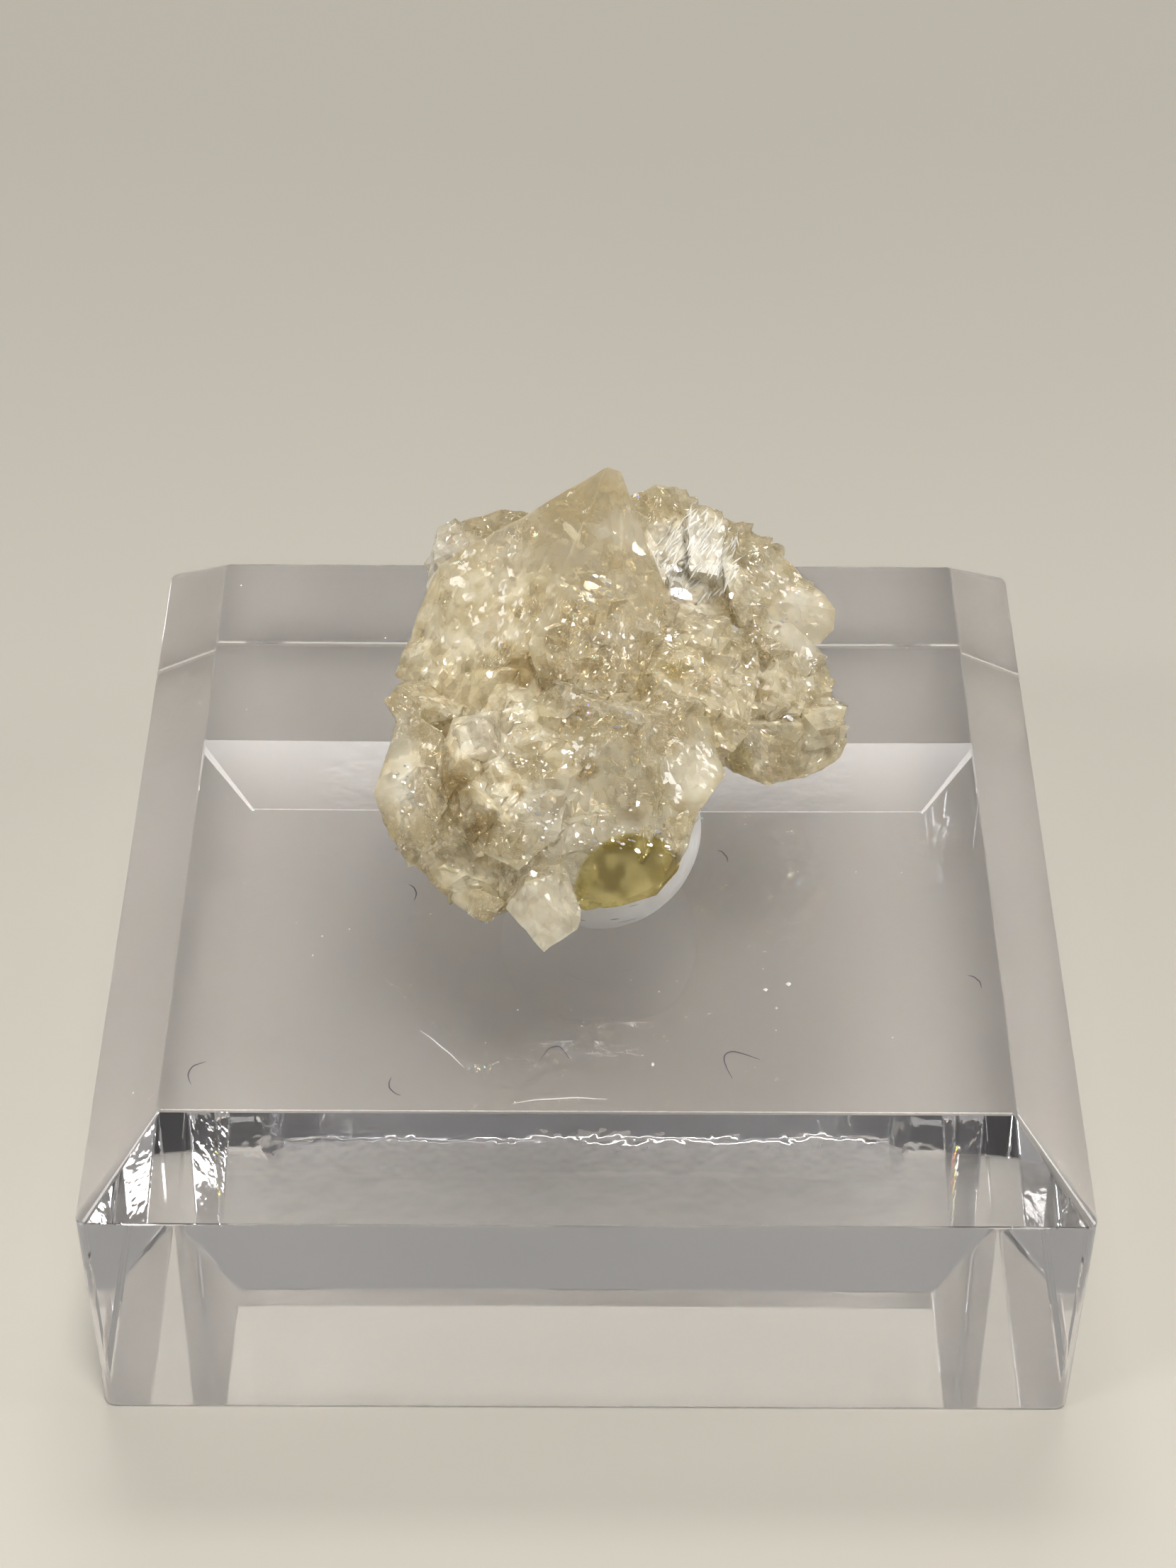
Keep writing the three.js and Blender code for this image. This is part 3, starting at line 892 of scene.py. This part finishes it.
@dataclass
class CrystalCluster:
    """The crystals: the CAD solid, refined, with parallel pyramids on its rough faces."""

    longest: float = 0.33
    coarse_size: float = 1.3
    coarse_height: float = 0.34
    fine_size: float = 0.55
    fine_height: float = 0.14
    steady: float = 0.03
    limit: float = 0.24
    growth: Place = (-0.1, -0.45, 0.9)
    stretch: float = 0.5
    cloud_sizes: tuple[float, float] = (1.3, 0.5)
    ridge_length: float = 1.5
    ridge_turn: float = 0.5
    ridge_reach: float = 0.2
    ridge_gap: float = 1.1
    least_milk: float = 0.15

    smooth = (
        Patch((-5.6, 2.4, 33), 4.8, 0.7),
        Patch((-1, 2, 36.5), 4.0),
        Patch((0.9, 4.2, 39.2), 3.2),
        Patch((1.5, 1.5, 35), 4.2),
        Patch((11, 4.2, 28.6), 2.6),
        Patch((12.8, 5.2, 29), 2.0),
        Patch((-10.4, -5, 27), 2.6),
        Patch((0, -7.6, 29.8), 2.6, 0.7),
        Patch((5.2, -7.4, 28), 2.4, 0.8),
        Patch((2.4, -10.6, 24.8), 3.0),
        Patch((-2.2, -13, 23.4), 2.4, 0.5),
    )
    milky = (
        Patch((-4.4, -6.4, 29.8), 4.0, 0.55),
        Patch((6.4, -1.6, 29.6), 4.6, 0.2),
        Patch((5.2, 5.4, 32.2), 3.4, 1.2),
        Patch((-7, -9.5, 24.4), 3.4, 0.5),
        Patch((11, 0, 27), 3.6, 0.15),
        Patch((-5.4, 0.5, 31.6), 5.6, 0.5),
        Patch((5.4, -6.8, 28.6), 2.2, 0.25),
        Patch((-9.2, -6.4, 27.4), 2.8, 0.5),
        Patch((-2.2, -13, 23.8), 2.6, 0.2),
    )
    # White patches: mostly milky white crystal; the one on the left lobe is also a painted
    # highlight.
    pale = (
        Patch((5.0, 5.2, 32.2), 3.3, 0.75, 0.6),
        Patch((-2.2, -13, 23.6), 2.7, 0.55, 0.8),
        Patch((-1.6, -9.6, 28.3), 2.6, 0.6, 0.2),
        Patch((5.2, -6.8, 28.6), 2.2, 0.35, 0.1),
        Patch((-5.0, -6.0, 30.2), 2.8, 0.5, 0.2),
        Patch((7.4, -2.2, 29.6), 1.8, 0.25),
        Patch((11.4, 4.4, 29.2), 2.4, 0.6),
        # This patch on the left lobe is also a painted highlight, for a long glint there.
        Patch((-9.6, -6.4, 27.6), 2.8, 0.6, 0.1),
        Patch((-8.0, 7.0, 31.0), 3.4, 0.9, 0.3),
        Patch((1.8, 2.8, 36.5), 2.4, 0.4, 0.2),
    )
    # Dark brown spots, mostly in hollows: partly the crystal's stain, partly painted shade.
    stain_and_shade_spots = (
        Patch((-2.9, 1.4, 34.5), 2.1, 0.35, 0.15),
        Patch((-3.4, -1.8, 31.1), 1.7, 0.9, 0.15),
        Patch((-2.1, -2.8, 31.3), 1.8, 0.7, 0.15),
        Patch((8.9, -0.6, 28.7), 1.3, 0.8, 0.15),
        Patch((-6.7, -8.3, 29.0), 1.7, 0.9, 0.15),
        Patch((-5.6, -10.2, 27.5), 1.8, 0.9, 0.15),
        Patch((-3.5, -8.4, 28.9), 0.8, 0.7, 0.15),
        Patch((-0.5, -5.4, 31.7), 1.0, 0.5, 0.15),
        Patch((2.5, -9.0, 27.9), 1.3, 0.6, 0.15),
        Patch((4.9, -8.8, 27.0), 1.6, 0.6, 0.15),
        Patch((-0.1, -7.8, 29.8), 1.1, 0.4, 0.15),
        Patch((6.2, -1.5, 30.0), 3.5, 0.35, 0.15),
        Patch((11.0, -0.5, 27.5), 3.4, 0.3, 0.15),
    )
    olive_and_shade_spots = (
        # The first spot is the olive window on a downward face: its dark olive is partly tint,
        # partly painted shade.
        Patch((2.2, -10.8, 24.4), 3.1, 1.0, 0.85),
        Patch((7.8, -2.9, 25.9), 1.7, 0.6, 0.3),
        Patch((4.5, -1.7, 30.9), 1.6, 0.45, 0.2),
    )

    def _unstretched(self, points: np.ndarray) -> np.ndarray:
        """Places with Z along the growth direction and drawn together, to draw the relief out."""
        along = np.array(self.growth) / np.linalg.norm(self.growth)
        across = np.cross([0, 1, 0], along)
        across /= np.linalg.norm(across)
        frame = np.stack([across, np.cross(along, across), along * self.stretch], -1)
        return points @ frame

    def build(self) -> tuple[bpy.types.Object, np.ndarray, np.ndarray]:
        """Makes the crystals.

        Returns:
            The crystals' piece, its points in millimetres and its triangles.
        """
        solid = solid_of_node(Node.CRYSTAL.value)
        edges = long_ridges(*solid, self.ridge_length, self.ridge_turn)
        points, faces = refined(*solid, self.longest)
        # Painted highlight along the long sharp convex edges, where the crystals show glints.
        ridge_highlight = nearness(points, edges, self.ridge_reach)
        rough = 1 - self._strongest(self.smooth, points)
        milk = self.least_milk + np.sum([patch.share(points) for patch in self.milky], axis=0)
        grown = self._unstretched(points)
        coarse, shade = parallel_peaks(grown, self.coarse_size, 11)
        fine, fleck = parallel_peaks(grown, self.fine_size, 31)
        relief = coarse * self.coarse_height + fine * self.fine_height
        relief *= rough * (1 - self.steady) + self.steady
        wide, narrow = self.cloud_sizes
        cloud = soft_noise(grown, wide, 51) * 0.6 + soft_noise(grown, narrow, 52) * 0.4
        ridge_highlight *= smooth_step(soft_noise(points, self.ridge_gap, 41), 0.5, 0.8)
        normals = point_normals(points, faces)
        points = points + normals * np.clip(relief, -self.limit, self.limit)[:, None]
        piece = new_piece("honey_crystals", points, faces, HoneyCrystal().material())
        shares = {
            "rough": rough,
            "shade": shade,
            "fleck": fleck,
            "cloud": cloud,
            "ridge_highlight": ridge_highlight,
            "milk": np.clip(milk, 0, 1),
            "pale": self._strongest(self.pale, points),
            "stain_and_shade": self._strongest(self.stain_and_shade_spots, points),
            "olive_and_shade": self._strongest(self.olive_and_shade_spots, points),
        }
        for name, values in shares.items():
            layer = piece.data.attributes.new(name, "FLOAT", "POINT")
            layer.data.foreach_set("value", values.astype(np.float32))
        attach(piece, BODY)
        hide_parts(Node.CRYSTAL.value)
        return piece, points, faces

    @staticmethod
    def _strongest(patches: tuple[Patch, ...], points: np.ndarray) -> np.ndarray:
        """The largest share that any of the patches has at each point."""
        return np.max([patch.share(points) for patch in patches], axis=0)


def unit(vectors: np.ndarray) -> np.ndarray:
    """The vectors, each made one long."""
    return vectors / np.linalg.norm(vectors, axis=-1, keepdims=True)


def skin_samples(
    points: np.ndarray, faces: np.ndarray, count: int, dice: np.random.Generator
) -> tuple[np.ndarray, np.ndarray]:
    """Chance places on a mesh, evenly by area, and the faces' directions there.

    Args:
        points: the mesh's points.
        faces: its triangles.
        count: how many places.
        dice: the source of chance.

    Returns:
        The places and the unit normals.
    """
    flat = triangle_normals(points, faces)
    area = np.linalg.norm(flat, axis=1)
    chosen = dice.choice(len(faces), count, p=area / area.sum())
    share = dice.dirichlet([1, 1, 1], count)
    places = (points[faces[chosen]] * share[:, :, None]).sum(axis=1)
    return places, flat[chosen] / area[chosen, None]


@dataclass
class InnerFlaws:
    """Small cracks inside the crystals, and silver leaves put on the skin as glints, turned to
    mirror the lamp.
    """

    count: int = 1000
    depth: tuple[float, float] = (0.08, 0.5)
    size: tuple[float, float] = (0.2, 1.0)
    middle: Place = (0.5, -1.0, 28.5)
    corners: int = 7
    cleavages: tuple[Place, ...] = ((0.9, -0.2, 0.3), (-0.3, 0.8, 0.45), (0.2, -0.35, 0.9))
    stray: float = 0.28
    # The way halfway between the lamp's and the camera's, so that the leaves on the skin mirror
    # the lamp as glints.
    film_facing: Place = (0.08, -0.46, 0.88)
    film_stray: float = 0.2
    film_size: tuple[float, float] = (0.05, 0.24)
    film_lift: float = 0.03
    film_choice: int = 60000
    seed: int = 7

    # Where glints are placed on the skin, and how many leaves each gets.
    glint_films = (
        (Patch((0.4, 0.0, 34.9), 0.8), 14),
        (Patch((-9.4, -6.2, 27.5), 1.0), 14),
        (Patch((-9.2, -7.4, 27.0), 0.8), 6),
        (Patch((-2.4, -9.3, 28.5), 0.9), 14),
        (Patch((-2.2, -9.9, 27.8), 0.7), 6),
        (Patch((0.0, -10.1, 27.0), 0.9), 14),
        (Patch((1.9, -10.1, 26.7), 0.9), 14),
        (Patch((3.7, -10.0, 26.4), 0.8), 10),
        (Patch((1.9, -6.5, 31.7), 0.8), 8),
        (Patch((11.1, 4.3, 29.0), 1.1), 6),
        (Patch((5.0, 4.0, 32.0), 1.5), 6),
    )

    def _leaves(
        self,
        centre: np.ndarray,
        facing: np.ndarray,
        size: tuple[float, float],
        dice: np.random.Generator,
    ) -> tuple[np.ndarray, np.ndarray]:
        """Irregular leaves: corners on an ellipse in each plane, at chance distances."""
        count = len(centre)
        long = unit(np.cross(facing, [0.3, 0.9, 0.4]))
        short = np.cross(facing, long)
        scale = dice.uniform(0, 1, count) ** 2 * (size[1] - size[0]) + size[0]
        angle = np.arange(self.corners) * 2 * math.pi / self.corners
        reach = scale[:, None] * dice.uniform(0.6, 1.0, (count, self.corners))
        rim = (
            centre[:, None]
            + long[:, None] * (reach * np.cos(angle))[:, :, None]
            + short[:, None] * (reach * 0.5 * np.sin(angle))[:, :, None]
        )
        fan = np.arange(1, self.corners - 1)
        fan = np.stack([np.zeros_like(fan), fan, fan + 1], -1)
        first = np.arange(count)[:, None, None] * self.corners
        return rim.reshape(-1, 3), (first + fan).reshape(-1, 3)

    def build(self, points: np.ndarray, faces: np.ndarray) -> bpy.types.Object:
        """Makes the cracks and the glint leaves.

        Args:
            points: the crystals' points.
            faces: the crystals' triangles.

        Returns:
            The piece of both.
        """
        dice = np.random.default_rng(self.seed)
        skin, _ = skin_samples(points, faces, self.count, dice)
        share = dice.uniform(*self.depth, (self.count, 1))
        centre = skin + (np.array(self.middle) - skin) * share
        kind = dice.integers(len(self.cleavages), size=self.count)
        facing = unit(np.array(self.cleavages)[kind] + dice.normal(0, self.stray, (self.count, 3)))
        leaves = [self._leaves(centre, facing, self.size, dice)]
        # Placed glints: silver leaves on the skin, turned to mirror the lamp.
        skin, outward = skin_samples(points, faces, self.film_choice, dice)
        for patch, count in self.glint_films:
            near = np.flatnonzero((patch.share(skin) > 0) & (outward[:, 2] > 0))[:count]
            stray = dice.normal(0, self.film_stray, (len(near), 3))
            facing = unit(np.array(self.film_facing) + stray)
            place = skin[near] + facing * self.film_lift
            leaves.append(self._leaves(place, facing, self.film_size, dice))
        piece = new_piece("inner_flaws", *joined(leaves), PearlyFlaw().material())
        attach(piece, BODY)
        return piece


@dataclass
class SilkyPatch:
    """White splinters that lie side by side on the back right crystal."""

    middle: Place = (5.6, 5.8, 32.4)
    radius: float = 2.7
    count: int = 420
    length: tuple[float, float] = (0.5, 1.8)
    width: float = 0.09
    along: Place = (0.44, 0.83, 0.33)
    stray: float = 0.22
    tries: int = 40
    least_rise: float = 0.1
    lie: float = 0.8
    lift: float = 0.02
    thickness: float = 0.6
    seed: int = 17

    def build(self, points: np.ndarray, faces: np.ndarray) -> bpy.types.Object:
        """Makes the splinters.

        Each is a slim double pyramid: two ends on its axis and four corners round its middle.

        Args:
            points: the crystals' points.
            faces: the crystals' triangles.

        Returns:
            The splinters' piece.
        """
        dice = np.random.default_rng(self.seed)
        skin, facing = skin_samples(points, faces, self.tries * self.count, dice)
        reach = self.radius * np.sqrt(dice.uniform(0.1, 1, len(skin)))
        near = np.linalg.norm(skin - np.array(self.middle), axis=1) < reach
        near &= facing[:, 2] > self.least_rise
        skin, facing = skin[near][: self.count], facing[near][: self.count]
        count = len(skin)
        along = unit(np.array(self.along) + dice.normal(0, self.stray, (count, 3)))
        along = unit(along - facing * (along * facing).sum(-1, keepdims=True) * self.lie)
        side = unit(np.cross(along, facing))
        over = np.cross(side, along)
        half = dice.uniform(*self.length, (count, 1)) / 2
        wide = self.width * dice.uniform(0.5, 1.3, (count, 1))
        centre = skin + facing * self.lift
        corners = [centre - along * half, centre + along * half]
        corners += [centre + side * wide, centre + over * wide * self.thickness]
        corners += [centre - side * wide, centre - over * wide * self.thickness]
        ring = np.array([[2, 3], [3, 4], [4, 5], [5, 2]])
        tips = [np.insert(ring, 0, 1, axis=1), np.insert(ring[:, ::-1], 0, 0, axis=1)]
        first = np.arange(count)[:, None, None] * len(corners)
        splinters = (first + np.concatenate(tips)).reshape(-1, 3)
        places = np.stack(corners, 1).reshape(-1, 3)
        piece = new_piece("silky_splinters", places, splinters, SilkySplinter().material())
        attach(piece, BODY)
        return piece


@dataclass
class BlockLint:
    """The hairs and specks of dust that lie on the block's top."""

    top: float = 19.05
    radius: float = 0.035
    steps: int = 14
    sides: int = 6
    specks: int = 70
    speck_size: tuple[float, float] = (0.02, 0.055)
    reach: float = 20.5
    hair_lift: float = 0.02
    hair_rise: float = 0.05
    hair_colour: Colour = (0.16, 0.14, 0.16)
    dust_colour: Colour = (0.9, 0.89, 0.87)
    seed: int = 3

    hairs = (
        ((7.0, -2.8), (7.5, -3.7), 0.15),
        ((19.7, -12.0), (20.3, -12.9), 0.2),
        ((-19.8, -19.7), (-19.2, -18.2), 0.3),
        ((-9.8, -19.2), (-9.3, -20.4), -0.25),
        ((7.3, -19.2), (8.7, -17.9), 0.75),
        ((-2.3, -17.9), (-0.9, -17.9), 0.6),
        ((-9.5, -5.5), (-9.2, -6.7), 0.2),
    )
    scores = (((-8.5, -16.0), (-6.2, -18.5), 0.02), ((-3.7, -20.9), (1.0, -20.6), 0.04))
    dots = (
        (10.4, -12.6, 0.2),
        (9.2, -13.0, 0.16),
        (9.7, -14.3, 0.12),
        (3.3, -18.2, 0.16),
        (3.7, -13.2, 0.08),
        (-13.9, -9.3, 0.1),
        (-14.3, -10.7, 0.08),
        (-12.5, -8.8, 0.07),
    )

    def _hair(self, start: Place, end: Place, bulge: float) -> tuple[np.ndarray, np.ndarray]:
        """A thin tube along an arc: the straight way plus bulge sideways, as 4t(1 - t)."""
        t = np.linspace(0, 1, self.steps)[:, None]
        a, b = np.array([*start, 0.0]), np.array([*end, 0.0])
        side = np.cross([0, 0, 1], b - a)
        path = a + (b - a) * t + side * bulge * 4 * t * (1 - t)
        path[:, 2] = self.top + self.radius + self.hair_lift
        path[:, 2] += self.hair_rise * np.sin(t[:, 0] * 7) ** 2
        along = unit(np.gradient(path, axis=0))
        across = unit(np.cross(along, [0, 0, 1]))
        up = np.cross(across, along)
        angle = np.arange(self.sides) * 2 * math.pi / self.sides
        ring = across[:, None] * np.cos(angle)[:, None] + up[:, None] * np.sin(angle)[:, None]
        taper = self.radius * np.sqrt(np.clip(np.sin(math.pi * np.clip(t, 0.02, 0.98)), 0.1, 1))
        points = path[:, None] + ring * taper[:, None]
        quads = grid_faces(self.steps, self.sides)
        return points.reshape(-1, 3), np.concatenate([quads[:, [0, 1, 2]], quads[:, [0, 2, 3]]])

    def build(self) -> list[bpy.types.Object]:
        """Makes the hairs and the specks.

        A speck is an octahedron with chance half lengths, half sunk towards the top face.

        Returns:
            The two pieces.
        """
        grey = DullFibre(self.hair_colour).material()
        hairs = new_piece("lint_hairs", *joined([self._hair(*arc) for arc in self.hairs]), grey)
        dice = np.random.default_rng(self.seed)
        where = dice.uniform(-self.reach, self.reach, (self.specks, 2))
        size = dice.uniform(*self.speck_size, self.specks)
        spots = np.concatenate([np.column_stack([where, size]), np.array(self.dots)])
        signs = np.array([[1, 0, 0], [0, 1, 0], [-1, 0, 0], [0, -1, 0], [0, 0, 0.6], [0, 0, -0.1]])
        half = spots[:, 2, None, None] * dice.uniform(0.5, 1.2, (len(spots), 6, 1))
        centre = np.column_stack([spots[:, :2], np.full(len(spots), self.top + 0.015)])
        octahedra = (centre[:, None] + signs * half).reshape(-1, 3)
        above = [[0, 1, 4], [1, 2, 4], [2, 3, 4], [3, 0, 4]]
        below = [[1, 0, 5], [2, 1, 5], [3, 2, 5], [0, 3, 5]]
        skin = np.array(above + below)
        skin = (skin + np.arange(len(spots))[:, None, None] * 6).reshape(-1, 3)
        white = DullFibre(self.dust_colour).material()
        scores = [self._hair(*arc) for arc in self.scores]
        dust = new_piece("dust_specks", *joined([*scores, (octahedra, skin)]), white)
        for piece in (hairs, dust):
            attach(piece, BODY)
        return [hairs, dust]


@dataclass(frozen=True)
class RoomGlow:
    """The light of a pale room, with a lamp overhead, a panel and a thin slit behind it.

    A direction is told by its slopes: how far it goes across and ahead for each step up.
    """

    low: Colour = (1.05, 1.02, 0.96)
    high: Colour = (1.0, 0.98, 0.94)
    ceiling: Colour = (0.42, 0.41, 0.39)
    least_rise: float = 0.1
    lights_rise: tuple[float, float] = (0.2, 0.3)
    wall_rise: tuple[float, float] = (-0.1, 0.6)
    ceiling_rise: tuple[float, float] = (0.76, 0.96)
    light: float = 0.27
    lamp_middle: tuple[float, float] = (0.08, -0.23)
    lamp_radius: float = 0.10
    lamp_blur: float = 0.03
    lamp_light: float = 54.0
    lamp_tint: Colour = (1.0, 0.98, 0.95)
    panel_across: tuple[float, float] = (-0.27, 0.29)
    panel_ahead: tuple[float, float] = (0.415, 0.56)
    panel_blur: float = 0.045
    panel_light: float = 9.5
    slit_across: tuple[float, float] = (-0.24, 0.22)
    slit_ahead: float = 0.724
    slit_blur: float = 0.03
    slit_half: float = 0.014
    slit_spread: float = 0.010
    slit_light: float = 46.0

    def world(self) -> bpy.types.World:
        """Makes the room's light.

        Returns:
            The world.
        """
        world = bpy.data.worlds.new("room")
        sheet = NodeSheet("room", world)
        spot = sheet.node("TexCoord", output="Generated")
        x, y, z = (sheet.node("SeparateXYZ", None, {0: spot}, axis) for axis in range(3))
        up = z.at_least(self.least_rise)
        across, ahead, above = x / up, y / up, z.between(*self.lights_rise)
        walls = sheet.mixed(z.between(*self.wall_rise), self.low, self.high)
        walls = sheet.mixed(z.between(*self.ceiling_rise), walls, self.ceiling)
        glow = self._glow(sheet, walls, self.light)
        aside, before = across - self.lamp_middle[0], ahead - self.lamp_middle[1]
        reach = aside * aside + before * before
        rim = self.lamp_radius + self.lamp_blur
        lamp = (1 - reach.between(self.lamp_radius**2, rim**2)) * above
        panel = across.within(*self.panel_across, self.panel_blur) * above
        panel = panel * ahead.within(*self.panel_ahead, self.panel_blur)
        bounds = across.within(*self.slit_across, self.slit_blur) * above
        bands = [
            ahead.within(middle - self.slit_half, middle + self.slit_half, self.slit_half) * bounds
            for middle in (self.slit_ahead + self.slit_spread * n for n in (1, 0, -1))
        ]
        rainbow = sheet.node("CombineColor", None, dict(enumerate(bands)))
        for colour, strength in (
            (self.lamp_tint, lamp * self.lamp_light),
            (self.lamp_tint, panel * self.panel_light),
            (rainbow, self.slit_light),
        ):
            inputs = {0: glow, 1: self._glow(sheet, colour, strength)}
            glow = sheet.node("AddShader", None, inputs)
        end = sheet.tree.nodes.new("ShaderNodeOutputWorld")
        sheet.tree.links.new(glow.socket, end.inputs["Surface"])
        return world

    @staticmethod
    def _glow(sheet: NodeSheet, colour: Colour | Term, strength: float | Term) -> Term:
        """One part of the light."""
        return sheet.node("Background", None, {"Color": colour, "Strength": strength})


@dataclass
class Studio:
    """The floor, the lights and the camera; lengths of the camera's place in millimetres."""

    frame_width: int = 1659
    frame_height: int = 2212
    focal_pixels: float = 4570.7
    sensor: float = 36.0
    eye: Place = (-0.16, -127.7, 140.8)
    yaw: float = math.radians(0.07)
    pitch: float = math.radians(43.09)
    roll: float = math.radians(0.288)
    floor_side: float = 3000.0
    floor_level: float = -0.03
    room: RoomGlow = RoomGlow()

    def build(self) -> None:
        """Makes the stage."""
        self._floor()
        self._camera()
        bpy.context.scene.world = self.room.world()
        self._light("right_window", (0.55, -0.02, 0.20), (0.14, 0.24), 1.0, (1.0, 1.0, 1.0))
        self._light("left_window", (-0.45, -0.25, 0.45), (0.16, 0.16), 0.8, (0.98, 0.99, 1.0))
        view = bpy.context.scene.view_settings
        view.view_transform = "Standard"
        cycles = bpy.context.scene.cycles
        cycles.max_bounces = 13
        cycles.transmission_bounces = 13
        cycles.glossy_bounces = 13
        cycles.diffuse_bounces = 2
        cycles.light_sampling_threshold = 0.03
        cycles.transparent_max_bounces = 4
        cycles.sample_clamp_indirect = 40.0

    def _floor(self) -> None:
        """A flat pale floor a hair below the block's underside."""
        half = self.floor_side / 2
        x, y = np.array([-half, half, half, -half]), np.array([-half, -half, half, half])
        corners = np.stack([x, y, np.full(4, self.floor_level)], -1)
        floor = new_piece("paper_floor", corners, np.array([[0, 1, 2, 3]]), PalePaper().material())

    def _camera(self) -> None:
        """The camera, turned by yaw, then pitch, then roll."""
        camera = bpy.data.cameras.new("photo_camera")
        camera.sensor_width = self.sensor
        camera.lens = self.focal_pixels * self.sensor / max(self.frame_width, self.frame_height)
        camera.clip_start = 0.01
        forward = Vector(
            (
                math.sin(self.yaw) * math.cos(self.pitch),
                math.cos(self.yaw) * math.cos(self.pitch),
                -math.sin(self.pitch),
            )
        )
        level = Vector((math.cos(self.yaw), -math.sin(self.yaw), 0.0))
        upward = level.cross(forward)
        right = level * math.cos(self.roll) + upward * math.sin(self.roll)
        above = upward * math.cos(self.roll) - level * math.sin(self.roll)
        turn = Matrix((right, above, -forward)).transposed().to_4x4()
        holder = bpy.data.objects.new("photo_camera", camera)
        holder.matrix_world = Matrix.Translation(Vector(self.eye) * MM) @ turn
        bpy.context.scene.collection.objects.link(holder)
        bpy.context.scene.camera = holder

    @staticmethod
    def _light(
        name: str, place: Place, size: tuple[float, float], power: float, tint: Colour
    ) -> None:
        """A rectangular light that faces the crystals.

        Args:
            name: its name.
            place: its middle, in metres.
            size: its width and height, in metres.
            power: in watts.
            tint: its colour.
        """
        lamp = bpy.data.lights.new(name, "AREA")
        lamp.shape = "RECTANGLE"
        lamp.size, lamp.size_y = size
        lamp.energy = power
        lamp.color = tint
        holder = bpy.data.objects.new(name, lamp)
        aim = Vector(CRYSTALS) - Vector(place)
        turn = aim.to_track_quat("-Z", "Y").to_matrix().to_4x4()
        holder.matrix_world = Matrix.Translation(place) @ turn
        bpy.context.scene.collection.objects.link(holder)


def main() -> None:
    """Builds the scene round the CAD part and logs how many faces each new piece has."""
    logging.basicConfig(level=logging.INFO, format="%(name)s: %(message)s")
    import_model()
    Studio().build()
    block = DisplayBlock().build()
    putty = PuttyBall().build()
    crystals, points, faces = CrystalCluster().build()
    flaws = InnerFlaws().build(points, faces)
    splinters = SilkyPatch().build(points, faces)
    for piece in (block, putty, crystals, flaws, splinters, *BlockLint().build()):
        LOG.info("%s has %d faces", piece.name, len(piece.data.polygons))


if __name__ == "__main__":
    main()
